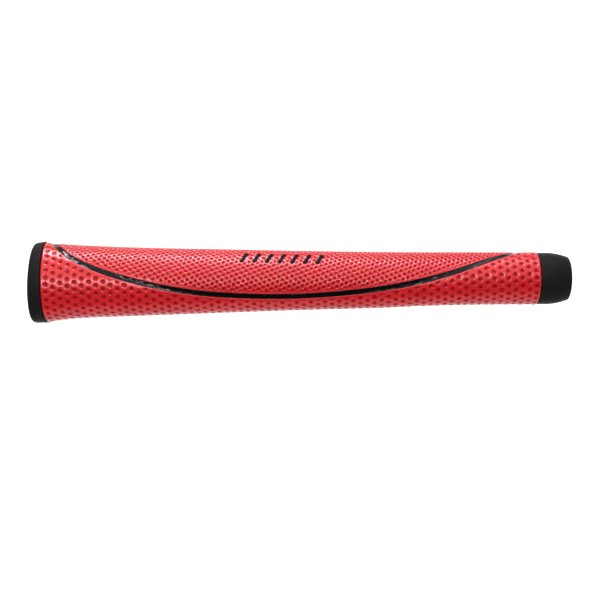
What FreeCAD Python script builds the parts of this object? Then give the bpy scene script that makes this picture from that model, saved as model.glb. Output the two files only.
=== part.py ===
import FreeCAD, Part
import math
import os

from BOPTools import SplitAPI

# A mid-size putter grip, in millimetres. X runs along the shaft bore: the origin is the centre of
# the bore's mouth, and the grip reaches back along -X to the butt cap. +Z is the front of the
# grip, where the thumbs lie, -Z is its back, and Y is across it.

LENGTH = 266.7                  # 10.5 in overall
BORE_RADIUS = 7.366             # 0.580 in putter shaft
SLEEVE_WALL = 1.6
SLEEVE_END = -252.0             # the sleeve stops against the cap's spigot

COLLAR_LENGTH = 15.6            # bare rubber between the mouth and the skins
COLLAR_TAPER = 10.5             # the part of it that tapers to the mouth
COLLAR_RADIUS = 12.87
MOUTH_RADIUS = 11.0
MOUTH_ROUNDING = 0.8
TONGUE_LENGTH = 11.0            # the collar's hidden tongue under the skins

CAP_JOINT = -260.4              # where the skins end, on the bore axis
CAP_JOINT_TILT = 2.2            # degrees that the joint's top leans back from square
CAP_AT_JOINT = (18.55, 22.15, 18.7)   # the cap's front height, back depth and half-width
CAP_AT_END = (17.75, 22.25, 18.4)
CAP_ROUNDING = 1.8
CAP_GAP = 0.3                   # shadow gap between the skins and the cap's rim
VENT_RADIUS = 1.5

SKIN = 1.3                      # polyurethane skin
FELT = 0.9                      # felt that backs the skin
STRIPE_WIDTH = 2.55
STRIPE_SUNK = 0.15              # how far the stripe lies below the skins

# The section from mouth to butt: place along X, height of the front, depth of the back, and half
# the width, all measured from the bore axis.
STATIONS = [
    (-15.6, 13.1, 13.1, 13.1),
    (-34.0, 13.15, 13.15, 13.25),
    (-54.0, 13.2, 13.4, 13.7),
    (-74.0, 13.2, 13.95, 14.3),
    (-94.0, 13.3, 14.85, 14.9),
    (-134.0, 13.9, 15.95, 15.8),
    (-174.0, 14.7, 17.35, 16.6),
    (-214.0, 15.5, 18.8, 17.2),
    (-244.0, 16.7, 20.0, 17.7),
    (-258.0, 17.7, 21.5, 18.2),
    (-266.7, 18.5, 22.6, 18.5),
]
EGG_START = -16.0               # round up to here, and egg-shaped by EGG_LENGTH further back
EGG_LENGTH = 60.0
EGG = 0.105                     # how much narrower the front is than the back
FRONT_FLAT = 0.025              # how much the thumb side is flattened
BACK_FLAT = 0.107               # how much the back is

# The face panel's outline, half of it, unrolled: the middle of the stripe, as its place along X
# and its distance round from the middle of the front.
PANEL_OUTLINE = [
    (-256.7, 0.0),
    (-254.9, 5.8),
    (-250.9, 11.1),
    (-238.2, 19.1),
    (-214.5, 26.3),
    (-191.2, 30.5),
    (-160.0, 32.35),
    (-132.9, 31.55),
    (-109.5, 29.1),
    (-86.1, 25.2),
    (-62.5, 19.1),
    (-50.5, 14.9),
    (-38.1, 9.5),
    (-31.6, 6.3),
    (-26.2, 0.0),
]

# Seven plain slanted bars let into the face panel's -Y side.
BAR_COUNT = 7
BAR_FIRST = -161.5
BAR_PITCH = 6.2
BAR_WIDTH = 2.0
BAR_HEIGHT = 7.6
BAR_SLANT = 24.0                # degrees
BAR_ROUND = 11.4                # how far round from the middle of the front the row lies
BAR_DEPTH = 0.5

SECTION_POINTS = 36
SECTION_STEP = 12.0             # distance between the sections that a loft passes through
OUTLINE_POINTS = 96
WRAP_STEPS = 240
OVERRUN = 4.0                   # how far a form runs past the plane that trims it
FENCE_REACH = (0.6, 1.3)        # a cutting wall's inner and outer rim, as shares of the section


def vector(x, y, z):
    return FreeCAD.Vector(x, y, z)


def blend(t):
    """Goes smoothly from 0 to 1 as t does."""
    t = max(0.0, min(1.0, t))
    return t * t * (3 - 2 * t)


def driving_sizes(x):
    """Front height, back depth and half-width at x, on a smooth curve through the stations."""
    last = len(STATIONS) - 1
    i = 0
    while i < last - 1 and x < STATIONS[i + 1][0]:
        i += 1
    span = STATIONS[i + 1][0] - STATIONS[i][0]
    t = (x - STATIONS[i][0]) / span
    sizes = []
    for column in (1, 2, 3):
        slopes = []
        for j in (i, i + 1):
            before = STATIONS[max(j - 1, 0)]
            after = STATIONS[min(j + 1, last)]
            slopes.append(span * (after[column] - before[column]) / (after[0] - before[0]))
        start = STATIONS[i][column]
        end = STATIONS[i + 1][column]
        bend = (t ** 3 - 2 * t ** 2 + t) * slopes[0] + (t ** 3 - t ** 2) * slopes[1]
        sizes.append(start + (3 * t ** 2 - 2 * t ** 3) * (end - start) + bend)
    return sizes


def cap_sizes(x):
    """The same three sizes of the cap's rim, which goes straight from its joint to its end."""
    t = (CAP_JOINT - x) / (CAP_JOINT + LENGTH)
    return [start + t * (end - start) for start, end in zip(CAP_AT_JOINT, CAP_AT_END)]


def half_section(x, sizes, steps):
    """Points (y, z) from the middle of the front round to the middle of the back."""
    front, back, half_width = sizes
    shape = blend((EGG_START - x) / EGG_LENGTH)
    front_flat = FRONT_FLAT * shape
    back_flat = BACK_FLAT * shape
    height = (front + back) / (2 - front_flat - back_flat)
    middle = front - height * (1 - front_flat)
    across = []
    up = []
    for i in range(steps + 1):
        angle = math.pi * i / steps
        c = math.cos(angle)
        flattening = back_flat * max(0.0, -c) ** 8 - front_flat * max(0.0, c) ** 8
        across.append(math.sin(angle) * (1 - EGG * shape * c))
        up.append(middle + height * (c + flattening))
    widest = max(across)
    return [(half_width * a / widest, u) for a, u in zip(across, up)]


def section_wire(x, sizes):
    """The whole section at x as one closed smooth curve."""
    right = half_section(x, sizes, SECTION_POINTS // 2)
    left = [(-y, z) for y, z in right[-2:0:-1]]
    points = [vector(x, y, z) for y, z in right + left]
    knots = [i / SECTION_POINTS for i in range(SECTION_POINTS + 1)]
    curve = Part.BSplineCurve()
    curve.interpolate(Points=points, Parameters=knots, PeriodicFlag=True)
    return Part.Wire(curve.toShape())


def body_solid(start, end, inset):
    """The grip's outer form, less inset all round, between two places along X."""
    count = math.ceil(abs(end - start) / SECTION_STEP)
    places = [start + (end - start) * i / count for i in range(count + 1)]
    wires = [section_wire(x, [size - inset for size in driving_sizes(x)]) for x in places]
    return Part.makeLoft(wires, True, False)


def cylinder(radius, start, end):
    return Part.makeCylinder(radius, start - end, vector(end, 0, 0), vector(1, 0, 0))


def behind_joint(gap):
    """A block that fills everything behind the cap's leaning joint plane."""
    size = 100.0
    block = Part.makeBox(size, size, size, vector(CAP_JOINT + gap - size, -size / 2, -size / 2))
    block.rotate(vector(CAP_JOINT, 0, 0), vector(0, 1, 0), -CAP_JOINT_TILT)
    return block


def layer(outer_inset, inner_inset, start):
    """One wrapped layer, from start back to the cap's joint."""
    end = CAP_JOINT - OVERRUN
    shell = body_solid(start, end, outer_inset).cut(body_solid(start, end, inner_inset))
    return shell.cut(behind_joint(CAP_GAP))


def wrap_point(x, around, scale):
    """The point on the surface at x that lies around mm round from the front, scaled in Y and Z."""
    profile = half_section(x, driving_sizes(x), WRAP_STEPS)
    left_over = abs(around)
    i = 0
    step = math.dist(profile[0], profile[1])
    while left_over > step:
        left_over -= step
        i += 1
        step = math.dist(profile[i], profile[i + 1])
    t = left_over / step
    y = profile[i][0] + t * (profile[i + 1][0] - profile[i][0])
    z = profile[i][1] + t * (profile[i + 1][1] - profile[i][1])
    return vector(x, math.copysign(y, around) * scale, z * scale)


def unrolled_outline(offset):
    """Points of the face panel's whole outline, unrolled and moved outwards by offset."""
    right = [vector(x, -around, 0) for x, around in PANEL_OUTLINE]
    left = [vector(x, around, 0) for x, around in PANEL_OUTLINE[-2:0:-1]]
    curve = Part.BSplineCurve()
    curve.interpolate(Points=right + left, PeriodicFlag=True)
    points = []
    for i in range(OUTLINE_POINTS):
        at = curve.FirstParameter + i / OUTLINE_POINTS * (curve.LastParameter - curve.FirstParameter)
        along = curve.tangent(at)[0]
        points.append(curve.value(at) + vector(along.y, -along.x, 0) * offset)
    return points


def fence(offset):
    """A closed wall that stands through all the layers along the face panel's outline."""
    rims = []
    for scale in FENCE_REACH:
        points = [wrap_point(p.x, p.y, scale) for p in unrolled_outline(offset)]
        curve = Part.BSplineCurve()
        curve.interpolate(Points=points, PeriodicFlag=True)
        rims.append(curve.toShape())
    return Part.makeRuledSurface(rims[0], rims[1])


def split_by(solid, wall):
    """The two pieces of a wrapped layer, inside the wall (the front) and outside it."""
    pieces = SplitAPI.slice(solid, [wall], "Split").Solids
    return sorted(pieces, key=lambda piece: -piece.CenterOfMass.z)


def underlisting_sleeve():
    outer = cylinder(BORE_RADIUS + SLEEVE_WALL, 0, SLEEVE_END)
    return outer.cut(cylinder(BORE_RADIUS, 1, SLEEVE_END - 1))


def foam_core():
    start = -(COLLAR_LENGTH + TONGUE_LENGTH)
    body = body_solid(start, CAP_JOINT - OVERRUN, SKIN + FELT).cut(behind_joint(CAP_GAP))
    return body.cut(cylinder(BORE_RADIUS + SLEEVE_WALL, 1, -LENGTH))


def felt_backings():
    """The felts of the two panels, which meet under the middle of the stripe."""
    return split_by(layer(SKIN, SKIN + FELT, -COLLAR_LENGTH), fence(0.0))


def skins():
    """Face panel, back panel, and the ring between them that the stripe fills."""
    skin = layer(0.0, SKIN, -COLLAR_LENGTH)
    face, rest = split_by(skin, fence(-STRIPE_WIDTH / 2))
    ring, back = split_by(rest, fence(STRIPE_WIDTH / 2))
    return face, back, ring


def pinstripe_bead(ring):
    """The stripe, filled to a little below the skins."""
    return ring.common(body_solid(-COLLAR_LENGTH, CAP_JOINT - OVERRUN, STRIPE_SUNK))


def bar_prism(index):
    """One slanted bar, standing square to the skin through its outer face."""
    x = BAR_FIRST + index * BAR_PITCH
    centre = wrap_point(x, -BAR_ROUND, 1.0)
    ahead = wrap_point(x, -BAR_ROUND - 1, 1.0)
    down = (ahead - centre).normalize()
    outward = vector(1, 0, 0).cross(down)
    if outward.y > 0:
        outward = outward * -1
    slant = math.radians(BAR_SLANT)
    along = down * math.cos(slant) - vector(1, 0, 0) * math.sin(slant)
    side = along.cross(outward).normalize()
    half_run = along * ((BAR_HEIGHT - BAR_WIDTH) / 2)
    radius = side * (BAR_WIDTH / 2)
    tip = along * (BAR_WIDTH / 2)
    top_arc = Part.Arc(centre - half_run - radius, centre - half_run - tip, centre - half_run + radius)
    low_arc = Part.Arc(centre + half_run + radius, centre + half_run + tip, centre + half_run - radius)
    right = Part.makeLine(centre - half_run + radius, centre + half_run + radius)
    left = Part.makeLine(centre + half_run - radius, centre - half_run - radius)
    outline = Part.Wire([top_arc.toShape(), right, low_arc.toShape(), left])
    bar = Part.Face(outline).extrude(outward * 6)
    bar.translate(outward * -3)
    return bar


def mark_inlays(face):
    """The bars, let into the face panel and level with it."""
    core = body_solid(-COLLAR_LENGTH, CAP_JOINT - OVERRUN, BAR_DEPTH)
    bars = [bar_prism(i).common(face).cut(core) for i in range(BAR_COUNT)]
    return Part.makeCompound([solid for bar in bars for solid in bar.Solids])


def nose_collar():
    """Rubber end ring: a tapering outside, and a tongue that reaches back under the skins."""
    inside = BORE_RADIUS + SLEEVE_WALL
    tongue_radius = driving_sizes(-COLLAR_LENGTH)[0] - SKIN - FELT
    rounding = MOUTH_ROUNDING
    corner = MOUTH_ROUNDING * math.sqrt(0.5)
    tail = -(COLLAR_LENGTH + TONGUE_LENGTH)
    mouth_arc = Part.Arc(
        vector(0, 0, MOUTH_RADIUS - rounding),
        vector(corner - rounding, 0, MOUTH_RADIUS - rounding + corner),
        vector(-rounding, 0, MOUTH_RADIUS),
    )
    taper = Part.Arc(
        vector(-rounding, 0, MOUTH_RADIUS),
        vector(-COLLAR_TAPER / 2, 0, (MOUTH_RADIUS + COLLAR_RADIUS) / 2 + 0.35),
        vector(-COLLAR_TAPER, 0, COLLAR_RADIUS),
    )
    corners = [
        vector(-COLLAR_TAPER, 0, COLLAR_RADIUS),
        vector(-COLLAR_LENGTH, 0, COLLAR_RADIUS),
        vector(-COLLAR_LENGTH, 0, tongue_radius),
        vector(tail, 0, tongue_radius),
        vector(tail, 0, inside),
        vector(0, 0, inside),
        vector(0, 0, MOUTH_RADIUS - rounding),
    ]
    edges = [mouth_arc.toShape(), taper.toShape()]
    edges += [Part.makeLine(a, b) for a, b in zip(corners, corners[1:])]
    profile = Part.Face(Part.Wire(edges))
    return profile.revolve(vector(0, 0, 0), vector(1, 0, 0), 360).Solids[0]


def butt_cap():
    """Moulded cap: a rim that stands proud of the skins, and a spigot with a vent through it."""
    wires = [section_wire(x, cap_sizes(x)) for x in (CAP_JOINT + OVERRUN, -LENGTH)]
    rim = Part.makeLoft(wires, True, True)
    end_edges = [edge for edge in rim.Edges if edge.BoundBox.XMax < -LENGTH + 0.01]
    rim = rim.makeFillet(CAP_ROUNDING, end_edges).common(behind_joint(0.0))
    spigot = cylinder(BORE_RADIUS + SLEEVE_WALL, SLEEVE_END, -LENGTH + CAP_ROUNDING)
    return rim.fuse(spigot).cut(cylinder(VENT_RADIUS, 1, -LENGTH - 1)).removeSplitter()


def build_parts():
    face, back, ring = skins()
    marks = mark_inlays(face)
    felts = felt_backings()
    return {
        "underlisting_sleeve": underlisting_sleeve(),
        "foam_core": foam_core(),
        "face_felt": felts[0],
        "back_felt": felts[1],
        "face_panel": face.cut(marks),
        "back_panel": back,
        "pinstripe_bead": pinstripe_bead(ring),
        "mark_inlays": marks,
        "nose_collar": nose_collar(),
        "butt_cap": butt_cap(),
    }


os.makedirs("parts", exist_ok=True)
for name, shape in build_parts().items():
    shape.exportStep(f"parts/{name}.step")
    box = shape.BoundBox
    print(f"{name}: {len(shape.Solids)} solids, valid {shape.isValid()}, {shape.Volume:.0f} mm3,",
          f"x {box.XMin:.1f} {box.XMax:.1f} y {box.YMin:.1f} {box.YMax:.1f} z {box.ZMin:.1f} {box.ZMax:.1f}")
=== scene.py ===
import math

import bmesh
import bpy
import numpy as np
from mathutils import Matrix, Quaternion, Vector
from mathutils.geometry import delaunay_2d_cdt
from mathutils.kdtree import KDTree


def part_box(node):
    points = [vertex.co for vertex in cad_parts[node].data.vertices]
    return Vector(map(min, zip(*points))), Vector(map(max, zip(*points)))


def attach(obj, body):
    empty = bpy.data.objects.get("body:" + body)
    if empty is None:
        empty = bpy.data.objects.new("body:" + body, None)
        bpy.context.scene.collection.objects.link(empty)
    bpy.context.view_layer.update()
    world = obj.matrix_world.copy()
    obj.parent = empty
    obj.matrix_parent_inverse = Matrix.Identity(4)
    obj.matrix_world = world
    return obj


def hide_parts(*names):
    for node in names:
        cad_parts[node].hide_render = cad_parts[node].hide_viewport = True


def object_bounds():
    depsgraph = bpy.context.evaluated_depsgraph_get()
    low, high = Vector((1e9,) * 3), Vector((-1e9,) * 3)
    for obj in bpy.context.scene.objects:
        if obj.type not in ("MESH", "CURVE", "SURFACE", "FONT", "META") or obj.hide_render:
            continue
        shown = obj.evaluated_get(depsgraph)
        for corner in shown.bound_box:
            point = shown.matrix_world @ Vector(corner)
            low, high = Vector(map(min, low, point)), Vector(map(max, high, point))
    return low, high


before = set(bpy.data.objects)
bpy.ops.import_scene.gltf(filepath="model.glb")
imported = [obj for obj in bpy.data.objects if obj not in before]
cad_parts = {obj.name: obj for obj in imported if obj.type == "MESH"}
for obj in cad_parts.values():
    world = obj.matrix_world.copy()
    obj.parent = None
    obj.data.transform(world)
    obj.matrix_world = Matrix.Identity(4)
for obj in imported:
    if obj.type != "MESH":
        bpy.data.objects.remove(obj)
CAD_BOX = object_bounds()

# Lengths below are in millimetres in the row frame, and become metres when a mesh is made.
MM = 0.001

# ---- the grip's form, as in the CAD model ----

BUTT_END = CAD_BOX[0][0] / MM
SKIN_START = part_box("back_panel")[1][0] / MM
CAP_JOINT = -260.4
CAP_JOINT_LEAN = math.tan(math.radians(2.2))
CAP_GAP = 0.3
CAP_AT_JOINT = (18.55, 22.15, 18.7)
CAP_AT_END = (17.75, 22.25, 18.4)
CAP_ROUNDING = 1.8
CAP_LIP = 0.45                  # rounding of the cap's edge at the joint
SPIGOT_RADIUS = 8.95
SPIGOT_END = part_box("underlisting_sleeve")[0][0] / MM
VENT_RADIUS = 1.5
SKIN = 1.3
FELT = 0.9
STRIPE_WIDTH = 2.68             # a little over the CAD groove's, as the skins' edges are rounded
STRIPE_CORNER = 0.15            # how far the stripe's corners lie below the skins,
STRIPE_RIM = 0.05               # its surface just inside them,
STRIPE_HOLLOW = 0.22            # and, further down than that, its middle
STRIPE_RIPPLE = 0.011
STRIPE_WAVES = 14

STATIONS = np.array([
    (-15.6, 13.1, 13.1, 13.1),
    (-34.0, 13.15, 13.15, 13.25),
    (-54.0, 13.2, 13.4, 13.7),
    (-74.0, 13.2, 13.95, 14.3),
    (-94.0, 13.3, 14.85, 14.9),
    (-134.0, 13.9, 15.95, 15.8),
    (-174.0, 14.7, 17.35, 16.6),
    (-214.0, 15.5, 18.8, 17.2),
    (-244.0, 16.7, 20.0, 17.7),
    (-258.0, 17.7, 21.5, 18.2),
    (-266.7, 18.5, 22.6, 18.5),
])
COLLAR_END = STATIONS[0, 0]     # where the skins start
COLLAR_MOUTH = 11.0             # radius at the mouth
COLLAR_ROUNDING = 0.8
COLLAR_TAPER = 10.5             # the length that tapers
EGG_START = -16.0
EGG_LENGTH = 60.0
EGG = 0.105
FRONT_FLAT = 0.025
BACK_FLAT = 0.107

PANEL_OUTLINE = np.array([
    (-256.7, 0.0),
    (-254.9, 5.8),
    (-250.9, 11.1),
    (-238.2, 19.1),
    (-214.5, 26.3),
    (-191.2, 30.5),
    (-160.0, 32.35),
    (-132.9, 31.55),
    (-109.5, 29.1),
    (-86.1, 25.2),
    (-62.5, 19.1),
    (-50.5, 14.9),
    (-38.1, 9.5),
    (-31.6, 6.3),
    (-26.2, 0.0),
])

# ---- dimples ----

# A dimple's wall goes from "floor" out to "radius". "rim" and "ridge" are the heights of the
# swellings round it and between dimples, "rings" and "spokes" place its mesh, "steps" lead to its
# two neighbours, and "pale" is how much less of the painted shade that darkens a dimple the middle
# of its floor gets than its wall.

COLUMN_FIRST = -17.95
COLUMN_PITCH = 3.472
COLUMN_COUNT = 70
COLUMN_LEAN = 0.037
ROW_PITCH = 3.7
ROW_NOSE = 2.1                  # the rows' place round from the middle of the back, at the nose
ROW_DRIFT = 1.9                 # how much further round they lie at the butt, evenly
ROW_FLARE = 2.0                 # and by a rise near the butt
COARSE = {
    "radius": 1.24, "floor": 0.62, "depth": 0.26, "rim": 0.055,
    "rings": (0.58, 0.8, 1.02, 1.22, 1.4), "spokes": 10,
    "steps": ((COLUMN_PITCH, ROW_PITCH / 2), (COLUMN_PITCH, -ROW_PITCH / 2)),
    "ridge": 0.08, "ridge_width": 0.2, "pale": 0.6,
}

FINE_ANCHOR = np.array((-173.72, -23.16))
FINE_STEP_A = np.array((2.355, 0.998))
FINE_STEP_B = np.array((1.664, -1.608))
FINE_CROWDING = 0.9             # how far the fine dimples at the nose end lie towards the butt
FINE = {
    "radius": 0.92, "floor": 0.42, "depth": 0.26, "rim": 0.03,
    "rings": (0.4, 0.58, 0.76, 0.95), "spokes": 10,
    "steps": (FINE_STEP_A, FINE_STEP_B),
    "ridge": 0.06, "ridge_width": 0.18, "pale": 0.25,
}

# ---- the skins' edges ----

STRIPE_MARGIN = 0.8             # width of the smooth margins, where there are no dimples
NOSE_MARGIN = 1.0
CAP_MARGIN = 0.7
BAR_MARGIN = 0.75
SEAM_MARGIN = 0.45
MARGIN_STEP = 0.22              # width of the step from a margin to the dimples
FADE_START = 0.02               # how far within a margin its step starts
CLEARANCE = 0.06                # gap between the dimples' points and the margins' lines of points
STRIPE_EDGE = 0.14              # rounding of the edges along the stripe, at the collar and the cap
NOSE_EDGE = 0.95
CAP_EDGE = 0.4
NOSE_BULGE = 0.16               # height of the swelling just inside the edge
CAP_BULGE = 0.08
SEAM_DEPTH = 0.22
SEAM_HALF_WIDTH = 0.28
STRIPE_LINES = (0.12, 0.32, 0.6, STRIPE_MARGIN)     # the mesh's lines inside each edge
NOSE_LINES = (0.15, 0.4, 0.75, 1.1, 1.5)
CAP_LINES = (0.12, 0.35, 0.7, 1.0)
SEAM_LINES = (0.12, 0.28, SEAM_MARGIN, SEAM_MARGIN + MARGIN_STEP)
BAR_LINES = (-0.12, 0.0, 0.12, 0.4, BAR_MARGIN, BAR_MARGIN + MARGIN_STEP)
EDGE_SPACING = 0.75             # spacing of the mesh's points along the edges
BACK_SPACING = 3.0              # and over the skins' plain backs

# ---- bars ----

BAR_COUNT = 7
BAR_FIRST = -161.5
BAR_PITCH = 6.2
BAR_WIDTH = 2.0
BAR_HEIGHT = 7.6
BAR_SLANT = math.radians(24.0)
BAR_ROUND = 11.4
BAR_ALONG = np.array((-math.sin(BAR_SLANT), -math.cos(BAR_SLANT)))
BAR_POCKET = 0.35               # how far the skin sinks under a bar

# ---- resolutions ----

FORM_SECTIONS = 270
FORM_STEPS = 720
SEAM_POINTS = 330
NOSE_POINTS = 56
JOINT_POINTS = 78
MARGIN_POINTS = 77
STRIPE_POINTS = 1000
BAR_POINTS = 48
POCKET_POINTS = 40
CAP_POINTS = 192
COLLAR_POINTS = 160


def smooth(low, high, value):
    """Goes smoothly from 0 at low to 1 at high."""
    t = np.clip((value - low) / (high - low), 0.0, 1.0)
    return t * t * (3 - 2 * t)


def driving_sizes(x):
    """Front height, back depth and half-width at each x."""
    places = STATIONS[:, 0]
    last = len(places) - 1
    i = np.clip(np.searchsorted(-places, -x, side="right") - 1, 0, last - 1)
    before = np.maximum(np.arange(last + 1) - 1, 0)
    after = np.minimum(np.arange(last + 1) + 1, last)
    slopes = (STATIONS[after] - STATIONS[before]) / (places[after] - places[before])[:, None]
    span = (places[i + 1] - places[i])[:, None]
    t = (x - places[i])[:, None] / span
    start = STATIONS[i]
    end = STATIONS[i + 1]
    bend = (t ** 3 - 2 * t ** 2 + t) * slopes[i] * span + (t ** 3 - t ** 2) * slopes[i + 1] * span
    sizes = start + (3 * t ** 2 - 2 * t ** 3) * (end - start) + bend
    return sizes[:, 1], sizes[:, 2], sizes[:, 3]


def half_sections(x, sizes, angle):
    """Y and Z round each section, from the middle of the front to the middle of the back."""
    front, back, half_width = [size[:, None] for size in sizes]
    shape = smooth(0.0, EGG_LENGTH, EGG_START - x)[:, None]
    c = np.cos(angle)[None, :]
    front_flat = FRONT_FLAT * shape
    back_flat = BACK_FLAT * shape
    height = (front + back) / (2 - front_flat - back_flat)
    middle = front - height * (1 - front_flat)
    across = np.sin(angle)[None, :] * (1 - EGG * shape * c)
    flattening = back_flat * np.maximum(0.0, -c) ** 8 - front_flat * np.maximum(0.0, c) ** 8
    return half_width * across / across.max(axis=1)[:, None], middle + height * (c + flattening)


class Form:
    """The grip's outer surface, as tables over x and the fraction of the way round to the back."""

    def __init__(self):
        self.x = np.linspace(0.0, BUTT_END - 2.0, FORM_SECTIONS)
        fine_angle = np.linspace(0.0, math.pi, 2 * FORM_STEPS + 1)
        across, up = half_sections(self.x, driving_sizes(self.x), fine_angle)
        steps = np.hypot(np.diff(across, axis=1), np.diff(up, axis=1))
        run = np.concatenate([np.zeros((len(self.x), 1)), np.cumsum(steps, axis=1)], axis=1)
        self.half_round = run[:, -1]
        fraction = np.linspace(0.0, 1.0, FORM_STEPS + 1)
        self.y = np.array([np.interp(fraction * r[-1], r, a) for r, a in zip(run, across)])
        self.z = np.array([np.interp(fraction * r[-1], r, u) for r, u in zip(run, up)])
        along_y = np.gradient(self.y, axis=1)
        along_z = np.gradient(self.z, axis=1)
        along_z[:, 0] = 0.0
        along_z[:, -1] = 0.0
        length = np.hypot(along_y, along_z)
        self.normal_y = -along_z / length
        self.normal_z = along_y / length

    def round_length(self, x):
        """How far it is from the middle of the front round to the middle of the back."""
        return np.interp(-x, -self.x, self.half_round)

    def lookup(self, x, around, tables):
        """What each table holds at x, around mm from the middle of the front."""
        i = (x - self.x[0]) / (self.x[1] - self.x[0])
        j = np.clip(np.abs(around) / self.round_length(x), 0.0, 1.0) * FORM_STEPS
        i0 = np.clip(i.astype(int), 0, len(self.x) - 2)
        j0 = np.clip(j.astype(int), 0, FORM_STEPS - 1)
        a = i - i0
        b = j - j0
        found = []
        for table in tables:
            low = table[i0, j0] * (1 - b) + table[i0, j0 + 1] * b
            high = table[i0 + 1, j0] * (1 - b) + table[i0 + 1, j0 + 1] * b
            found.append(low * (1 - a) + high * a)
        return found

    def place(self, x, around, height):
        """Points height above the surface; around is negative on the -Y side."""
        y, z, ny, nz = self.lookup(x, around, (self.y, self.z, self.normal_y, self.normal_z))
        side = np.where(around < 0, -1.0, 1.0)
        return np.stack([x, side * (y + ny * height), z + nz * height], axis=1)


FORM = Form()


def closed_spline(points, count):
    """count points on a smooth closed curve through points."""
    n = len(points)
    chord = np.linalg.norm(np.roll(points, -1, axis=0) - points, axis=1)
    system = np.zeros((n, n))
    right = np.zeros((n, 2))
    for i in range(n):
        h0 = chord[i - 1]
        h1 = chord[i]
        system[i, i - 1] = h0
        system[i, i] = 2 * (h0 + h1)
        system[i, (i + 1) % n] = h1
        right[i] = 6 * ((points[(i + 1) % n] - points[i]) / h1 - (points[i] - points[i - 1]) / h0)
    curve = np.linalg.solve(system, right)
    at = np.concatenate([[0.0], np.cumsum(chord)])
    t = np.arange(count) / count * at[-1]
    i = np.clip(np.searchsorted(at, t, side="right") - 1, 0, n - 1)
    k = (i + 1) % n
    h = chord[i][:, None]
    a = (at[i + 1] - t)[:, None]
    b = (t - at[i])[:, None]
    bend = (curve[i] * a ** 3 + curve[k] * b ** 3) / (6 * h)
    return bend + (points[i] / h - curve[i] * h / 6) * a + (points[k] / h - curve[k] * h / 6) * b


class Outline:
    """The middle of the stripe: the face panel's unrolled outline, once round."""

    def __init__(self):
        near = PANEL_OUTLINE * (1, -1)
        far = PANEL_OUTLINE[-2:0:-1]
        self.points = closed_spline(np.concatenate([near, far]), 4000)
        along = np.roll(self.points, -1, axis=0) - np.roll(self.points, 1, axis=0)
        along /= np.linalg.norm(along, axis=1)[:, None]
        self.outward = np.stack([along[:, 1], -along[:, 0]], axis=1)
        self.tree = KDTree(len(self.points))
        for i, (x, around) in enumerate(self.points):
            self.tree.insert((x, around, 0), i)
        self.tree.balance()

    def offset(self, distance, spacing):
        """A closed ring of points at distance outwards, about spacing apart."""
        ring = self.points + self.outward * distance
        run = np.concatenate([[0.0], np.cumsum(np.linalg.norm(np.diff(ring, axis=0), axis=1))])
        wanted = np.arange(round(run[-1] / spacing)) * spacing
        return np.stack([np.interp(wanted, run, column) for column in ring.T], axis=1)

    def distance(self, points):
        """How far each point is outside the middle of the stripe (inside is negative)."""
        nearest = [self.tree.find((x, around, 0))[1] for x, around in points]
        return np.einsum("ij,ij->i", points - self.points[nearest], self.outward[nearest])


OUTLINE = Outline()


def skin_end(x, around, short=0.0):
    """Where along X the skins end, or stop short, at the cap's leaning joint."""
    (z,) = FORM.lookup(x, around, (FORM.z,))
    return CAP_JOINT + CAP_GAP + short - CAP_JOINT_LEAN * z


def joint_distance(points):
    """How far each unrolled point is from the skins' end at the cap."""
    return points[:, 0] - skin_end(points[:, 0], points[:, 1])


def bar_centres():
    """The middles of the bars, unrolled."""
    return np.array([(BAR_FIRST + i * BAR_PITCH, -BAR_ROUND) for i in range(BAR_COUNT)])


def bar_distance(points):
    """How far each unrolled point is from the nearest bar's edge."""
    best = np.full(len(points), 1e9)
    reach = (BAR_HEIGHT - BAR_WIDTH) / 2
    for centre in bar_centres():
        offset = points - centre
        along = np.clip(offset @ BAR_ALONG, -reach, reach)
        gap = np.linalg.norm(offset - along[:, None] * BAR_ALONG, axis=1)
        best = np.minimum(best, gap - BAR_WIDTH / 2)
    return best


# ---- dimple fields ----

def coarse_centres():
    """The back panel's dimples on the near half, in rows that run nearly along the back."""
    centres = []
    for column in range(COLUMN_COUNT):
        x = COLUMN_FIRST - column * COLUMN_PITCH
        along = column / COLUMN_COUNT
        first = ROW_NOSE + ROW_DRIFT * along + ROW_FLARE * along ** 4 + (column % 2) * ROW_PITCH / 2
        whole = float(FORM.round_length(np.array([x]))[0])
        for row in range(-2, 17):
            up = first + row * ROW_PITCH
            if 0.4 < up < whole - 0.4:
                centres.append((x - COLUMN_LEAN * (up - whole / 2), up - whole))
    return np.array(centres)


def fine_centres():
    """The face panel's dimples, one slanted lattice over the whole panel."""
    centres = []
    for a in range(-90, 91):
        for b in range(-90, 91):
            x, around = FINE_ANCHOR + a * FINE_STEP_A + b * FINE_STEP_B
            if -258 < x < -24 and abs(around) < 34:
                centres.append((x - FINE_CROWDING * smooth(-90.0, -30.0, x), around))
    centres = np.array(centres)
    inside = OUTLINE.distance(centres) < -STRIPE_WIDTH / 2 - STRIPE_MARGIN + 0.55
    return centres[inside]


def nearest_centre(points, centres):
    """Which centre is nearest to each point, and how far away it is."""
    tree = KDTree(len(centres))
    for i, (x, around) in enumerate(centres):
        tree.insert((x, around, 0), i)
    tree.balance()
    found = [tree.find((x, around, 0)) for x, around in points]
    return np.array([f[1] for f in found]), np.array([f[2] for f in found])


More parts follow.
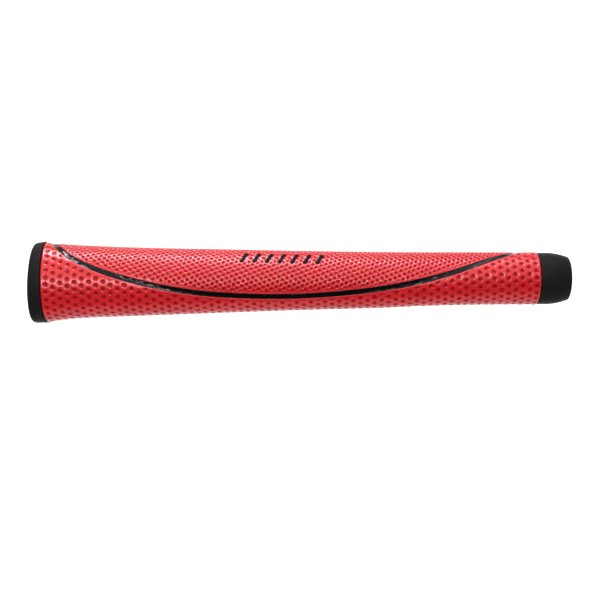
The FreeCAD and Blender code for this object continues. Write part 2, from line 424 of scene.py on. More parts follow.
def dimple_points(centres, dimple):
    """Rings of points round each centre, and points along the ridges between the centres."""
    spokes = np.arange(dimple["spokes"]) / dimple["spokes"] * 2 * math.pi
    rings = [np.zeros((1, 2))]
    for k, radius in enumerate(dimple["rings"]):
        turn = spokes + (k % 2) * math.pi / dimple["spokes"]
        rings.append(radius * np.stack([np.cos(turn), np.sin(turn)], axis=1))
    pattern = np.concatenate(rings)
    points = (centres[:, None, :] + pattern[None, :, :]).reshape(-1, 2)
    owner = np.repeat(np.arange(len(centres)), len(pattern))
    closest, _ = nearest_centre(points, centres)
    first, second = np.array(dimple["steps"])
    shares = [(0.5, 0.5)]
    shares += [(0.5, s) for s in (-0.25, 0.0, 0.25)]
    shares += [(s, 0.5) for s in (-0.25, 0.0, 0.25)]
    ridge = np.array([a * first + b * second for a, b in shares])
    ridge_points = (centres[:, None, :] + ridge[None, :, :]).reshape(-1, 2)
    return np.concatenate([points[closest == owner], ridge_points])


def dimple_height(points, centres, dimple):
    """How much painted shade deepens a dimple's colour at each point, and the surface's height
    there.
    """
    closest, distance = nearest_centre(points, centres)
    level = smooth(dimple["floor"], dimple["radius"], distance)
    rim = dimple["rim"] * np.exp(-((distance - dimple["radius"] - 0.05) / 0.18) ** 2)
    first, second = np.array(dimple["steps"])
    area = abs(first[0] * second[1] - first[1] * second[0])
    shares = np.abs((points - centres[closest]) @ np.linalg.inv(np.array([first, second])))
    from_first = np.abs(0.5 - shares[:, 0]) * area / np.linalg.norm(second)
    from_second = np.abs(0.5 - shares[:, 1]) * area / np.linalg.norm(first)
    line = np.minimum(from_first, from_second)
    ridge = dimple["ridge"] * np.exp(-(line / dimple["ridge_width"]) ** 2)
    ridge *= smooth(dimple["radius"], dimple["radius"] + 0.2, distance)
    # Painted shade: the colour is darkened inside each dimple, fully on its wall and less in the
    # middle of its floor.
    paling = dimple["pale"] * (1 - smooth(0.0, dimple["floor"], distance))
    painted_shade_depth = (1 - level ** 2) * (1 - paling)
    return painted_shade_depth, rim + ridge - dimple["depth"] * (1 - level)


def rounded_edge(distance, radius):
    """How far a rounded edge of that radius lies below the surface."""
    inside = np.clip(radius - distance, 0.0, radius)
    return radius - np.sqrt(np.maximum(radius ** 2 - inside ** 2, 0.0))


# ---- meshes ----

def make_piece(name, verts, faces, material, replaced, painted_shade=None):
    """A smooth-shaded piece; the last argument is how much painted shade deepens its colour at each
    vertex.
    """
    mesh = bpy.data.meshes.new(name)
    mesh.from_pydata([tuple(v) for v in np.asarray(verts) * MM], [], faces)
    mesh.update()
    for polygon in mesh.polygons:
        polygon.use_smooth = True
    if painted_shade is not None:
        layer = mesh.attributes.new("painted_shade", "FLOAT", "POINT")
        layer.data.foreach_set("value", np.asarray(painted_shade, dtype=np.float32))
    piece = bpy.data.objects.new(name, mesh)
    bpy.context.scene.collection.objects.link(piece)
    mesh.materials.append(material)
    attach(piece, "root")
    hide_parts(replaced)
    return piece


def triangulate(polygon, points):
    """Triangles that fill polygon and use points.

    Gives the new points, the triangles, and the new numbers of the polygon's corners.
    """
    count = len(polygon)
    everything = [Vector(p) for p in np.concatenate([polygon, points])]
    edges = [(i, (i + 1) % count) for i in range(count)]
    verts, _, faces, origins, _, _ = delaunay_2d_cdt(everything, edges, [], 1, 1e-5)
    where = {}
    for new, old_ones in enumerate(origins):
        for old in old_ones:
            where[old] = new
    loop = [where[i] for i in range(count)]
    return np.array([tuple(v) for v in verts]), [tuple(f) for f in faces], loop


def grid_inside(polygon_distance, low, high, spacing):
    """Evenly spaced points that lie well inside, for a plain surface."""
    xs = np.arange(low[0], high[0], spacing)
    ys = np.arange(low[1], high[1], spacing)
    points = np.array([(x, y) for x in xs for y in ys])
    return points[polygon_distance(points) > spacing * 0.5]


def skin_solid(outside, height, inside, walls):
    """A skin's vertices and faces: its worked outer surface, its plain back, and its walls."""
    outer_points, outer_faces, outer_loop = outside
    inner_points, inner_faces, inner_loop = inside
    outer = FORM.place(outer_points[:, 0], outer_points[:, 1], height)
    inner = FORM.place(inner_points[:, 0], inner_points[:, 1], np.full(len(inner_points), -SKIN))
    shift = len(outer)
    faces = list(outer_faces)
    faces += [tuple(shift + i for i in reversed(face)) for face in inner_faces]
    count = len(outer_loop)
    for i in range(count):
        j = (i + 1) % count
        if walls[i]:
            low_i = shift + inner_loop[i]
            low_j = shift + inner_loop[j]
            faces.append((outer_loop[j], outer_loop[i], low_i, low_j))
    return np.concatenate([outer, inner]), faces


def face_panel(material):
    """The thumb-side skin: fine dimples, with a smooth margin round its edge and the bars."""
    edge = -STRIPE_WIDTH / 2
    polygon = OUTLINE.offset(edge, EDGE_SPACING)
    lines = [OUTLINE.offset(edge - d, EDGE_SPACING) for d in STRIPE_LINES]
    for centre in bar_centres():
        for gap in BAR_LINES:
            lines.append(centre + stadium(BAR_WIDTH / 2 + gap, POCKET_POINTS))
    for centre in bar_centres():
        lines.append(centre + BAR_ALONG * np.array((-2.4, -1.2, 0.0, 1.2, 2.4))[:, None])
    centres = fine_centres()
    rings = dimple_points(centres, FINE)
    rings = rings[OUTLINE.distance(rings) < edge - STRIPE_MARGIN - CLEARANCE]
    rings = rings[bar_distance(rings) > BAR_MARGIN + MARGIN_STEP + CLEARANCE]
    outside = triangulate(polygon, np.concatenate([rings] + lines))
    points = outside[0]
    centres = centres[bar_distance(centres) > BAR_MARGIN - 0.5]
    hollow_shade, height = dimple_height(points, centres, FINE)
    inside = edge - OUTLINE.distance(points)
    bars = bar_distance(points)
    mask = smooth(STRIPE_MARGIN - FADE_START, STRIPE_MARGIN + MARGIN_STEP, inside)
    mask *= smooth(BAR_MARGIN - FADE_START, BAR_MARGIN + MARGIN_STEP, bars)
    height = height * mask - rounded_edge(inside, STRIPE_EDGE)
    height -= BAR_POCKET * (1 - smooth(-0.12, 0.1, bars))
    plain = grid_inside(lambda p: edge - OUTLINE.distance(p), (-256, -33), (-25, 33), BACK_SPACING)
    back = triangulate(polygon, plain)
    verts, faces = skin_solid(outside, height, back, [True] * len(polygon))
    # The painted shade in the dimples, passed on to the material as a vertex attribute.
    painted_shade = np.concatenate([hollow_shade * mask, np.zeros(len(verts) - len(points))])
    return make_piece("face_skin", verts, faces, material, "face_panel", painted_shade)


def stadium(radius, count):
    """The outline of a bar widened to that radius, round its own centre."""
    reach = (BAR_HEIGHT - BAR_WIDTH) / 2
    side = np.array((BAR_ALONG[1], -BAR_ALONG[0]))
    points = []
    for i in range(count):
        turn = (i + 0.5) / count * 2 * math.pi
        shift = reach if math.sin(turn) > 0 else -reach
        along = math.sin(turn) * radius + shift
        points.append(side * math.cos(turn) * radius + BAR_ALONG * along)
    return np.array(points)


def back_half_polygon():
    """The back panel's near half, unrolled: its corners, and which sides are real edges."""
    low = np.array([CAP_JOINT + CAP_GAP + 0.6])
    seam_start = skin_end(low, FORM.round_length(low))[0]
    seam = np.linspace(seam_start, SKIN_START, SEAM_POINTS)
    ups = np.linspace(-float(FORM.round_length(np.array([SKIN_START]))[0]), 0.0, NOSE_POINTS)
    nose_tip = OUTLINE.points[:, 0].max() + STRIPE_WIDTH / 2
    butt_tip = OUTLINE.points[:, 0].min() - STRIPE_WIDTH / 2
    front_nose = np.linspace(SKIN_START, nose_tip, 13)
    stripe = OUTLINE.offset(STRIPE_WIDTH / 2, EDGE_SPACING)
    stripe = stripe[stripe[:, 1] < -0.2][::-1]
    front_butt = np.linspace(butt_tip, skin_end(np.array([CAP_JOINT]), np.zeros(1))[0], 4)
    rounds = np.linspace(0.0, -float(FORM.round_length(np.array([seam_start]))[0]), JOINT_POINTS)
    joint = np.full(JOINT_POINTS, CAP_JOINT)
    for _ in range(3):
        joint = skin_end(joint, rounds)
    sections = [
        (np.stack([seam, -FORM.round_length(seam)], axis=1), False),
        (np.stack([np.full(NOSE_POINTS, SKIN_START), ups], axis=1), True),
        (np.stack([front_nose, np.zeros(len(front_nose))], axis=1), False),
        (np.concatenate([[(nose_tip, 0.0)], stripe, [(butt_tip, 0.0)]]), True),
        (np.stack([front_butt, np.zeros(len(front_butt))], axis=1), False),
        (np.stack([joint, rounds], axis=1), True),
    ]
    points = np.concatenate([part[:-1] for part, _ in sections])
    walls = [real for part, real in sections for _ in range(len(part) - 1)]
    return points, walls


def back_depth_inside(points):
    """The least distance from each unrolled point to an edge of the back panel's near half."""
    inside = OUTLINE.distance(points) - STRIPE_WIDTH / 2
    inside = np.minimum(inside, SKIN_START - points[:, 0])
    inside = np.minimum(inside, joint_distance(points))
    inside = np.minimum(inside, -points[:, 1])
    return np.minimum(inside, FORM.round_length(points[:, 0]) + points[:, 1])


def back_margin_lines():
    """Lines of points just inside the real edges, so that the margins are crisp."""
    lines = []
    for d in (*STRIPE_LINES, STRIPE_MARGIN + MARGIN_STEP):
        ring = OUTLINE.offset(STRIPE_WIDTH / 2 + d, EDGE_SPACING)
        lines.append(ring[ring[:, 1] < -0.15])
    rounds = -np.linspace(0.4, 58.0, MARGIN_POINTS)
    for d in NOSE_LINES:
        lines.append(np.stack([np.full(MARGIN_POINTS, SKIN_START - d), rounds], axis=1))
    for d in CAP_LINES:
        xs = skin_end(np.full(MARGIN_POINTS, CAP_JOINT + d), rounds, d)
        lines.append(np.stack([xs, rounds], axis=1))
    xs = np.arange(-258.6, -17.4, EDGE_SPACING)
    for d in SEAM_LINES:
        lines.append(np.stack([xs, d - FORM.round_length(xs)], axis=1))
    points = np.concatenate(lines)
    return points[back_depth_inside(points) > 0.05]


def back_panel(material):
    """The skin round the back and both ends: coarse dimples, made as one half and mirrored."""
    polygon, walls = back_half_polygon()
    centres = coarse_centres()
    rings = dimple_points(centres, COARSE)
    rings = rings[back_depth_inside(rings) > 0.09]
    from_stripe = OUTLINE.distance(rings) - STRIPE_WIDTH / 2
    keep = (from_stripe > STRIPE_MARGIN + MARGIN_STEP + CLEARANCE) | (from_stripe < -90)
    seam_gap = FORM.round_length(rings[:, 0]) + rings[:, 1]
    keep &= seam_gap > SEAM_MARGIN + MARGIN_STEP + CLEARANCE
    keep &= SKIN_START - rings[:, 0] > NOSE_LINES[-1] + CLEARANCE
    keep &= joint_distance(rings) > CAP_LINES[-1] + CLEARANCE
    outside = triangulate(polygon, np.concatenate([rings[keep], back_margin_lines()]))
    points = outside[0]
    hollow_shade, height = dimple_height(points, centres, COARSE)
    stripe = OUTLINE.distance(points) - STRIPE_WIDTH / 2
    nose = SKIN_START - points[:, 0]
    cap = joint_distance(points)
    seam = FORM.round_length(points[:, 0]) + points[:, 1]
    mask = smooth(STRIPE_MARGIN - FADE_START, STRIPE_MARGIN + MARGIN_STEP, stripe)
    mask *= smooth(NOSE_MARGIN, NOSE_MARGIN + MARGIN_STEP, nose)
    mask *= smooth(CAP_MARGIN, CAP_MARGIN + MARGIN_STEP, cap)
    mask *= smooth(SEAM_MARGIN - FADE_START, SEAM_MARGIN + MARGIN_STEP, seam)
    height = height * mask
    rounding = rounded_edge(stripe, STRIPE_EDGE) + rounded_edge(nose, NOSE_EDGE)
    height -= rounding + rounded_edge(cap, CAP_EDGE)
    height -= SEAM_DEPTH * (1 - smooth(0.0, SEAM_HALF_WIDTH, seam))
    bulge = NOSE_BULGE * np.exp(-((nose - 0.8) / 0.5) ** 2)
    height += bulge + CAP_BULGE * np.exp(-((cap - 0.6) / 0.35) ** 2)
    plain = grid_inside(back_depth_inside, (-260, -60), (-16, 0), BACK_SPACING)
    near, faces = skin_solid(outside, height, triangulate(polygon, plain), walls)
    # The painted shade in the dimples, passed on to the material as a vertex attribute.
    painted_shade = np.concatenate([hollow_shade * mask, np.zeros(len(near) - len(points))])
    near[np.abs(near[:, 1]) < 1e-3, 1] = 0.0
    verts = np.concatenate([near, near * (1, -1, 1)])
    faces += [tuple(len(near) + i for i in reversed(face)) for face in faces]
    painted_shade = np.concatenate([painted_shade, painted_shade])
    piece = make_piece("back_skin", verts, faces, material, "back_panel", painted_shade)
    weld(piece)
    return piece


def weld(piece):
    """Joins vertices that lie on one another."""
    work = bmesh.new()
    work.from_mesh(piece.data)
    bmesh.ops.remove_doubles(work, verts=work.verts, dist=2e-6)
    work.to_mesh(piece.data)
    work.free()


def stripe_bead(material):
    """The black line, poured into its groove and a little hollow across."""
    half = STRIPE_WIDTH / 2 - 0.01
    root = -SKIN + 0.05
    section = [(half, root), (half, -STRIPE_CORNER)]
    for t in (9.6, 8, 6, 4, 2, 0, -2, -4, -6, -8, -9.6):
        section.append((half * t / 10, -STRIPE_RIM - STRIPE_HOLLOW * (1 - (t / 10) ** 2)))
    section += [(-half, -STRIPE_CORNER), (-half, root)]
    picks = np.arange(STRIPE_POINTS) * len(OUTLINE.points) // STRIPE_POINTS
    base = OUTLINE.points[picks]
    outward = OUTLINE.outward[picks]
    rng = np.random.default_rng(7)
    waves = []
    for _ in range(STRIPE_WAVES):
        waves.append((rng.uniform(0.5, 3.2), rng.uniform(-2.5, 2.5), rng.uniform(0, 6.28)))
    rows = []
    for offset, height in section:
        spot = base + outward * offset
        ripple = np.zeros(STRIPE_POINTS)
        if abs(offset) < 0.9 * half:
            for rate, slant, phase in waves:
                ripple += STRIPE_RIPPLE * np.sin(spot[:, 0] * rate + offset * slant + phase)
        rows.append(FORM.place(spot[:, 0], spot[:, 1], height + ripple))
    verts, faces = ringed_mesh(rows)
    return make_piece("stripe_bead", verts, faces, material, "pinstripe_bead")


def mark_bars(material):
    """The seven bars, each a low pad with rounded edges."""
    levels = [(0.99, -0.4), (0.99, -0.05), (0.93, 0.02), (0.8, 0.06), (0.5, 0.09)]
    count = BAR_POINTS
    verts = []
    faces = []
    for centre in bar_centres():
        start = len(verts)
        for radius, height in levels:
            ring = centre + stadium(radius * BAR_WIDTH / 2, count)
            placed = FORM.place(ring[:, 0], ring[:, 1], np.full(count, height))
            verts += [tuple(p) for p in placed]
        for k in range(len(levels) - 1):
            for i in range(count):
                j = (i + 1) % count
                low = start + k * count
                faces.append((low + j, low + i, low + count + i, low + count + j))
        top = start + (len(levels) - 1) * count
        faces.append(tuple(top + i for i in reversed(range(count))))
        faces.append(tuple(start + i for i in range(count)))
    return make_piece("mark_bars", verts, faces, material, "mark_inlays")


def cap_ring(x, inset, lean):
    """The cap's section at x, less inset; lean is its share of the joint's lean."""
    turn = np.arange(CAP_POINTS) / CAP_POINTS * 2 * math.pi
    half_turn = np.where(turn <= math.pi, turn, 2 * math.pi - turn)
    share = (CAP_JOINT - x) / (CAP_JOINT - BUTT_END)
    sizes = []
    for start, end in zip(CAP_AT_JOINT, CAP_AT_END):
        sizes.append(np.array([start + share * (end - start) - inset]))
    across, up = half_sections(np.array([float(x)]), sizes, half_turn)
    side = np.where(turn <= math.pi, 1.0, -1.0)
    return np.stack([x - lean * CAP_JOINT_LEAN * up[0], side * across[0], up[0]], axis=1)


def circle_like(ring, x, radius):
    """A circle of that radius at x, whose points lie at the same angles as ring's."""
    length = np.hypot(ring[:, 1], ring[:, 2])
    across = ring[:, 1] / length * radius
    up = ring[:, 2] / length * radius
    return np.stack([np.full(len(ring), x), across, up], axis=1)


def ringed_mesh(rings):
    """Vertices and faces of a closed tube of rings, the last joined to the first."""
    count = len(rings[0])
    total = len(rings)
    faces = []
    for k in range(total):
        m = (k + 1) % total
        for i in range(count):
            j = (i + 1) % count
            faces.append((m * count + i, m * count + j, k * count + j, k * count + i))
    return np.concatenate(rings), faces


def butt_cap(material):
    """The cap: a lip at the joint, a rim, a rounded corner, a crowned end and the vent."""
    rings = []
    for turn in np.linspace(0.0, math.pi / 2, 6):
        x = CAP_JOINT - CAP_LIP * (1 - math.cos(turn))
        rings.append(cap_ring(x, CAP_LIP * (1 - math.sin(turn)), 1.0))
    corner_start = BUTT_END + CAP_ROUNDING
    for t in (0.3, 0.65):
        x = CAP_JOINT - CAP_LIP + (corner_start - CAP_JOINT + CAP_LIP) * t
        rings.append(cap_ring(x, 0.0, 1.0 - t))
    for turn in np.linspace(0.0, math.pi / 2, 10):
        x = corner_start - CAP_ROUNDING * math.sin(turn) + 0.12 * (1 - math.cos(turn))
        rings.append(cap_ring(x, CAP_ROUNDING * (1 - math.cos(turn)), 0.0))
    edge = rings[-1]
    for share in (0.85, 0.65, 0.45, 0.28):
        ring = edge * (1, share, share)
        ring[:, 0] = edge[:, 0] - 0.11 * (1 - share ** 2)
        rings.append(ring)
    mouth = BUTT_END + 0.03
    vent_and_spigot = (
        (mouth, VENT_RADIUS + 1.1),
        (mouth + 0.05, VENT_RADIUS + 0.35),
        (mouth + 0.3, VENT_RADIUS),
        (SPIGOT_END - 0.3, VENT_RADIUS),
        (SPIGOT_END, VENT_RADIUS + 0.3),
        (SPIGOT_END, SPIGOT_RADIUS - 0.4),
        (SPIGOT_END - 0.4, SPIGOT_RADIUS),
        (CAP_JOINT - 1.0, SPIGOT_RADIUS),
    )
    for x, radius in vent_and_spigot:
        rings.append(circle_like(edge, x, radius))
    rings.append(cap_ring(CAP_JOINT - 0.02, SKIN + 1.5, 1.0))
    verts, faces = ringed_mesh(rings)
    return make_piece("cap_moulding", verts, faces, material, "butt_cap")


def nose_collar(material):
    """The collar: rounded mouth, convex taper, and the tongue that the skins are pulled over."""
    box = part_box("nose_collar")
    radius = box[1][2] / MM
    tail = box[0][0] / MM
    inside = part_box("underlisting_sleeve")[1][2] / MM
    tongue = STATIONS[0, 1] - SKIN - FELT
    mouth = COLLAR_MOUTH
    rounding = COLLAR_ROUNDING
    profile = [(0.0, inside + 0.25), (0.0, mouth - rounding)]
    for turn in np.linspace(0.15, 1.0, 6) * math.pi / 2:
        profile.append((rounding * (math.cos(turn) - 1), mouth + rounding * (math.sin(turn) - 1)))
    for t in np.linspace(0.06, 1.0, 16):
        x = -rounding - (COLLAR_TAPER - rounding) * t
        profile.append((x, mouth + (radius - mouth) * (1 - (1 - t) ** 1.9)))
    profile += [(-12.5, radius), (-15.2, radius), (-15.45, radius - 0.08), (-15.55, radius - 0.4)]
    profile += [(COLLAR_END, tongue + 0.1), (-16.0, tongue), (tail + 0.2, tongue)]
    profile += [(tail, tongue - 0.2), (tail, inside + 0.2), (tail + 0.2, inside + 0.01)]
    profile.append((-0.25, inside + 0.01))
    turn = np.arange(COLLAR_POINTS) / COLLAR_POINTS * 2 * math.pi
    rings = []
    for x, r in profile:
        ring = [np.full(COLLAR_POINTS, x), r * np.sin(turn), r * np.cos(turn)]
        rings.append(np.stack(ring, axis=1))
    verts, faces = ringed_mesh(rings)
    return make_piece("collar_moulding", verts, faces, material, "nose_collar")


# ---- materials ----

def new_material(name):
    """A material, its node tree, its main shader, and the object's own coordinates."""
    material = bpy.data.materials.new(name)
    material.use_nodes = True
    tree = material.node_tree
    shader = tree.nodes["Principled BSDF"]
    place = tree.nodes.new("ShaderNodeTexCoord").outputs["Object"]
    return material, tree, shader, place


def noise(tree, place, scale, detail=3.0, stretch=None):
    """Noise over the object; scale is in cycles a metre."""
    node = tree.nodes.new("ShaderNodeTexNoise")
    node.inputs["Scale"].default_value = scale
    node.inputs["Detail"].default_value = detail
    if stretch:
        mapping = tree.nodes.new("ShaderNodeMapping")
        mapping.inputs["Scale"].default_value = stretch
        tree.links.new(place, mapping.inputs["Vector"])
        place = mapping.outputs["Vector"]
    tree.links.new(place, node.inputs["Vector"])
    return node.outputs["Fac"]


def spread(tree, value, low, high, to_low, to_high):
    """value, from the range low to high, carried over to the range to_low to to_high."""
    node = tree.nodes.new("ShaderNodeMapRange")
    sockets = ("From Min", "From Max", "To Min", "To Max")
    for socket, number in zip(sockets, (low, high, to_low, to_high)):
        node.inputs[socket].default_value = number
    tree.links.new(value, node.inputs["Value"])
    return node.outputs["Result"]


def mix_colours(tree, factor, first, second):
    """A colour that goes from first to second as factor goes from 0 to 1."""
    node = tree.nodes.new("ShaderNodeMix")
    node.data_type = "RGBA"
    tree.links.new(factor, node.inputs["Factor"])
    for socket, colour in (("A", first), ("B", second)):
        target = [s for s in node.inputs if s.name == socket and s.type == "RGBA"][0]
        if isinstance(colour, tuple):
            target.default_value = (*colour, 1.0)
        else:
            tree.links.new(colour, target)
    return [s for s in node.outputs if s.type == "RGBA"][0]


def bump(tree, shader, height, distance, strength, under=None):
    """Roughens the shader's normal by height, over another bump's normal if under is given."""
    node = tree.nodes.new("ShaderNodeBump")
    node.inputs["Distance"].default_value = distance
    node.inputs["Strength"].default_value = strength
    tree.links.new(height, node.inputs["Height"])
    if under:
        tree.links.new(under, node.inputs["Normal"])
    tree.links.new(node.outputs["Normal"], shader.inputs["Normal"])
    return node.outputs["Normal"]


def paint(tree, shader, factor, first, second):
    """Gives the surface a colour that goes from first to second with factor."""
    tree.links.new(mix_colours(tree, factor, first, second), shader.inputs["Base Color"])


def polish(tree, shader, place, scale, low, high):
    """Gives the surface a roughness that wanders from low to high."""
    roughness = spread(tree, noise(tree, place, scale), 0.3, 0.7, low, high)
    tree.links.new(roughness, shader.inputs["Roughness"])


def red_polyurethane():
    """Soft red polyurethane: light gloss, fine grain, and painted shade that deepens the red in the
    dimples, where it is also duller.
    """
    material, tree, shader, place = new_material("red_polyurethane")
    patches = spread(tree, noise(tree, place, 55.0), 0.35, 0.65, 0.0, 1.0)
    base = mix_colours(tree, patches, (0.60, 0.005, 0.009), (0.66, 0.008, 0.013))
    # The dimples' painted shade, read from the mesh, darkens the red towards a deep red.
    painted_shade = tree.nodes.new("ShaderNodeAttribute")
    painted_shade.attribute_name = "painted_shade"
    paint(tree, shader, painted_shade.outputs["Fac"], base, (0.255, 0.0008, 0.0025))
    polish(tree, shader, place, 700.0, 0.18, 0.27)
    gloss = spread(tree, painted_shade.outputs["Fac"], 0.0, 1.0, 0.6, 0.05)
    tree.links.new(gloss, shader.inputs["Specular IOR Level"])
    first = bump(tree, shader, noise(tree, place, 2600.0, 2.0), 0.00005, 0.3)
    bump(tree, shader, noise(tree, place, 500.0), 0.0001, 0.2, first)
    shader.inputs["Coat Weight"].default_value = 0.06
    shader.inputs["Coat Roughness"].default_value = 0.1
    return material


def black_gloss():
    """Poured glossy black, a little wrinkled along the groove."""
    material, tree, shader, place = new_material("black_gloss")
    patches = noise(tree, place, 300.0)
    paint(tree, shader, patches, (0.0012, 0.0018, 0.0018), (0.003, 0.0042, 0.0042))
    polish(tree, shader, place, 900.0, 0.05, 0.1)
    first = bump(tree, shader, noise(tree, place, 330.0, 1.0, (0.6, 1.0, 1.0)), 0.0008, 0.7)
    bump(tree, shader, noise(tree, place, 2400.0), 0.00005, 0.2, first)
    shader.inputs["Specular IOR Level"].default_value = 0.24
    return material


def black_paint():
    """Thick satin black paint, for the bars."""
    material, tree, shader, place = new_material("black_paint")
    patches = noise(tree, place, 300.0)
    paint(tree, shader, patches, (0.0015, 0.0022, 0.0022), (0.0035, 0.0048, 0.0048))
    polish(tree, shader, place, 900.0, 0.4, 0.5)
    bump(tree, shader, noise(tree, place, 1500.0), 0.0001, 0.4)
    shader.inputs["Specular IOR Level"].default_value = 0.05
    return material


def black_rubber():
    """Matte moulded rubber with a fine spark-eroded grain."""
    material, tree, shader, place = new_material("black_rubber")
    patches = noise(tree, place, 120.0)
    paint(tree, shader, patches, (0.0075, 0.0075, 0.007), (0.0115, 0.0115, 0.011))
    polish(tree, shader, place, 250.0, 0.5, 0.64)
    first = bump(tree, shader, noise(tree, place, 3200.0, 2.0), 0.00005, 0.5)
    bump(tree, shader, noise(tree, place, 180.0), 0.0003, 0.12, first)
    shader.inputs["Specular IOR Level"].default_value = 0.09
    return material


def plain_rubber():
    """The sleeve's ground rubber, with faint lines round it."""
    material, tree, shader, place = new_material("sleeve_rubber")
    specks = noise(tree, place, 900.0)
    paint(tree, shader, specks, (0.022, 0.022, 0.022), (0.045, 0.044, 0.042))
    polish(tree, shader, place, 400.0, 0.7, 0.85)
    bump(tree, shader, noise(tree, place, 1500.0, 2.0, (3.0, 0.4, 0.4)), 0.0001, 0.5)
    return material


def foam():
    """Closed-cell foam."""
    material, tree, shader, place = new_material("closed_cell_foam")
    cells = tree.nodes.new("ShaderNodeTexVoronoi")
    cells.inputs["Scale"].default_value = 1800.0
    tree.links.new(place, cells.inputs["Vector"])
    paint(tree, shader, cells.outputs["Distance"], (0.20, 0.20, 0.21), (0.10, 0.10, 0.11))
    polish(tree, shader, place, 600.0, 0.85, 0.95)
    bump(tree, shader, cells.outputs["Distance"], 0.0003, 0.6)
    return material


def felt():
    """Needled felt."""
    material, tree, shader, place = new_material("needled_felt")
    fibres = noise(tree, place, 700.0, 6.0)
    paint(tree, shader, fibres, (0.52, 0.50, 0.46), (0.70, 0.68, 0.64))
    polish(tree, shader, place, 900.0, 0.9, 1.0)
    bump(tree, shader, noise(tree, place, 2000.0, 5.0, (1.0, 0.3, 1.0)), 0.0003, 0.7)
    shader.inputs["Sheen Weight"].default_value = 0.4
    return material


def dress_node(name, material):
    """Gives a carried-over CAD node its material."""
    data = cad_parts[name].data
    data.materials.clear()
    data.materials.append(material)


# ---- the stage, in metres ----

VIEW_DISTANCE = 0.519
VIEW_WIDTH = 0.30108            # width of the view at the grip
VIEW_CENTRE = (-0.1340, -0.0108)
FLOOR = -0.42
SWEEP_START = 1.2               # how far back the floor starts to curve up
SWEEP_RADIUS = 1.0
CARD_EDGES = ((-1.5, -0.14), (-0.16, -0.4))
CARD_ENDS = (-1.6, 1.3)
WORLD_STRENGTH = 0.5

OVER = (1.0, 0.9, 1.0)          # the overhead lights' colour
FRONT = (1.0, 0.96, 1.0)        # and the front ones'

# Name, place, target, width and height, power, roll, and colour.
LIGHTS = [
    ("top_box", (-0.27, -0.09, 0.75), (-0.26, 0.0, 0.0), (0.40, 0.26), 2.9, 0.0, OVER),
    ("top_strip", (-0.27, -0.04, 0.74), (-0.26, 0.0, 0.0), (0.42, 0.045), 1.8, 0.0, OVER),
    ("top_fill", (0.08, -0.20, 0.80), (-0.1, 0.0, 0.0), (0.50, 0.45), 1.75, 0.0, OVER),
    ("front_box", (-0.24, -1.12, 0.28), (-0.14, 0.0, 0.0), (0.68, 0.36), 1.4, 0.2, FRONT),
    ("front_strip", (-0.24, -1.1, 0.31), (-0.14, 0.0, 0.0), (0.66, 0.024), 2.5, 0.2, FRONT),
    ("front_fill", (0.15, -1.1, 0.15), (-0.1, 0.0, 0.0), (0.6, 0.6), 0.35, 0.0, (1, 1, 1)),
    ("sheen", (-0.13, -0.75, 0.75), (-0.13, 0.0, 0.0), (1.2, 0.75), 2.4, 0.0, OVER),
]


def add_camera():
    """A camera square to the near side, as far away as the photograph's."""
    data = bpy.data.cameras.new("camera")
    data.lens = data.sensor_width * VIEW_DISTANCE / VIEW_WIDTH
    data.clip_start = 0.01
    camera = bpy.data.objects.new("camera", data)
    camera.location = (VIEW_CENTRE[0], -VIEW_DISTANCE, VIEW_CENTRE[1])
    camera.rotation_euler = (math.pi / 2, 0, 0)
    bpy.context.scene.collection.objects.link(camera)
    bpy.context.scene.camera = camera


def add_backdrop():
    """A pale sweep: a floor that curves up into a wall behind, brighter there through a painted
    glow.
    """
    material, tree, shader, place = new_material("pale_sweep")
    paint(tree, shader, noise(tree, place, 3.0), (0.74, 0.74, 0.74), (0.78, 0.78, 0.78))
    shader.inputs["Roughness"].default_value = 0.9
    # A painted glow: the sweep gives off light of its own, none over the floor in front of and
    # under the grip, rising behind it to its most further back and on the wall.
    shader.inputs["Emission Color"].default_value = (1, 1, 1, 1)
    axes = tree.nodes.new("ShaderNodeSeparateXYZ")
    tree.links.new(place, axes.inputs["Vector"])
    glow = spread(tree, axes.outputs["Y"], 0.25, 0.85, 0.0, 0.8)
    tree.links.new(glow, shader.inputs["Emission Strength"])
    profile = [(-3.0, FLOOR), (SWEEP_START, FLOOR)]
    for turn in np.linspace(0.1, 1.0, 10) * math.pi / 2:
        y = SWEEP_START + SWEEP_RADIUS * math.sin(turn)
        profile.append((y, FLOOR + SWEEP_RADIUS - SWEEP_RADIUS * math.cos(turn)))
    profile.append((SWEEP_START + SWEEP_RADIUS, 3.0))
    verts = [(side * 4.0, y, z) for y, z in profile for side in (-1, 1)]
    faces = [(2 * i, 2 * i + 1, 2 * i + 3, 2 * i + 2) for i in range(len(profile) - 1)]
    stage_mesh("sweep", verts, faces, material)


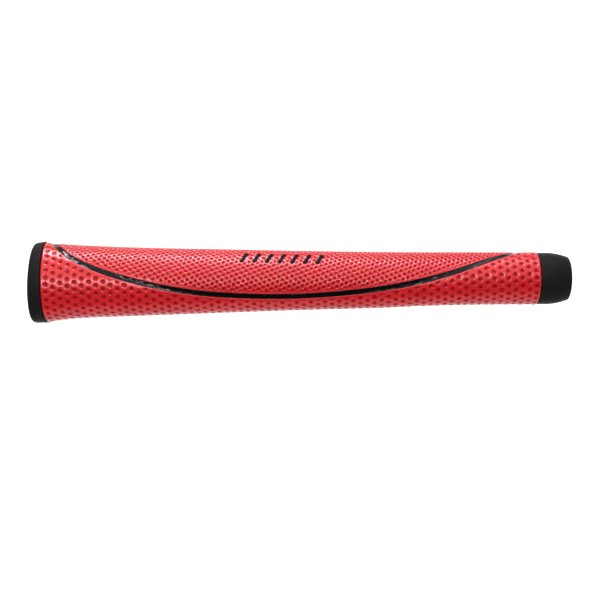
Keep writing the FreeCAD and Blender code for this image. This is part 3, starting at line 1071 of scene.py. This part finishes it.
def add_card():
    """A black studio card, low in front of the grip, that only reflections show."""
    material, tree, shader, place = new_material("black_card")
    paint(tree, shader, noise(tree, place, 5.0), (0.008, 0.008, 0.008), (0.012, 0.012, 0.012))
    shader.inputs["Roughness"].default_value = 0.9
    verts = [(x, y, z) for y, z in CARD_EDGES for x in CARD_ENDS]
    card = stage_mesh("black_card", verts, [(0, 1, 3, 2)], material)
    card.visible_camera = False
    card.visible_diffuse = False
    card.visible_shadow = False


def stage_mesh(name, verts, faces, material):
    """A smooth surface that belongs to the stage."""
    mesh = bpy.data.meshes.new(name)
    mesh.from_pydata(verts, [], faces)
    mesh.materials.append(material)
    for polygon in mesh.polygons:
        polygon.use_smooth = True
    thing = bpy.data.objects.new(name, mesh)
    bpy.context.scene.collection.objects.link(thing)
    return thing


def add_light(name, place, target, size, power, roll, colour):
    """A soft rectangular light at place that faces target, turned by roll about its own axis."""
    data = bpy.data.lights.new(name, "AREA")
    data.shape = "RECTANGLE"
    data.size, data.size_y = size
    data.energy = power
    data.color = colour
    light = bpy.data.objects.new(name, data)
    light.location = place
    facing = (Vector(target) - Vector(place)).to_track_quat("-Z", "Y")
    light.rotation_euler = (facing @ Quaternion((0, 0, 1), roll)).to_euler()
    bpy.context.scene.collection.objects.link(light)
    return light


def add_world():
    """An even white surrounding."""
    world = bpy.data.worlds.new("studio")
    world.use_nodes = True
    background = world.node_tree.nodes["Background"]
    background.inputs["Color"].default_value = (1, 1, 1, 1)
    background.inputs["Strength"].default_value = WORLD_STRENGTH
    bpy.context.scene.world = world


def build_grip():
    red = red_polyurethane()
    gloss = black_gloss()
    rubber = black_rubber()
    face_panel(red)
    back_panel(red)
    stripe_bead(gloss)
    mark_bars(black_paint())
    butt_cap(rubber)
    nose_collar(rubber)
    felt_material = felt()
    dress_node("face_felt", felt_material)
    dress_node("back_felt", felt_material)
    dress_node("foam_core", foam())
    dress_node("underlisting_sleeve", plain_rubber())


def build_stage():
    add_camera()
    add_backdrop()
    add_card()
    add_world()
    lights = {row[0]: add_light(*row) for row in LIGHTS}
    lights["front_fill"].visible_glossy = False
    lights["sheen"].visible_diffuse = False
    bpy.context.scene.view_settings.view_transform = "Standard"


build_stage()
build_grip()
